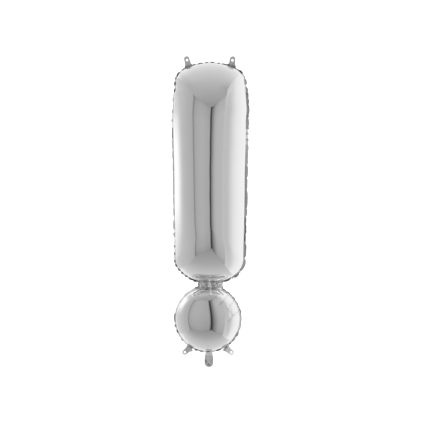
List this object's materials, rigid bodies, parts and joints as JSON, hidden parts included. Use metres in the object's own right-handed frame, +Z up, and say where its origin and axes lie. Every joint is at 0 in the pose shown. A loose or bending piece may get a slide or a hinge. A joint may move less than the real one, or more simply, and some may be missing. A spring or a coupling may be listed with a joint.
{
  "type": "exclamation mark foil balloon",
  "caption": "Silver foil balloon in the shape of an exclamation mark, with a long stem, a round dot, hanging tabs and a filling tail.",
  "frame": {"origin": "the float point: the centre of the gas that the films hold, inside the stem, where the air's lift acts", "axes": "+Z up along the stem from the dot to the stem's top, -Y towards the front, +X to the right seen from the front"},
  "size_m": [0.2536, 0.1858, 1.0214],
  "materials": {
    "silver_film": "mirror-bright metallised film",
    "welded_film": "bright, crimped by the weld",
    "valve_film": "milky thin film"
  },
  "bodies": {
    "root": {"stem_front": "silver_film", "stem_back": "silver_film", "neck_front": "silver_film", "neck_back": "silver_film", "dot_front": "silver_film", "dot_back": "silver_film", "weld_rim": "welded_film", "tab_top_left": "welded_film", "tab_top_right": "welded_film", "tab_bottom_left": "welded_film", "tab_bottom_right": "welded_film", "tail_front": "welded_film", "tail_back": "welded_film", "valve_film": "valve_film"}
  },
  "joints": []
}
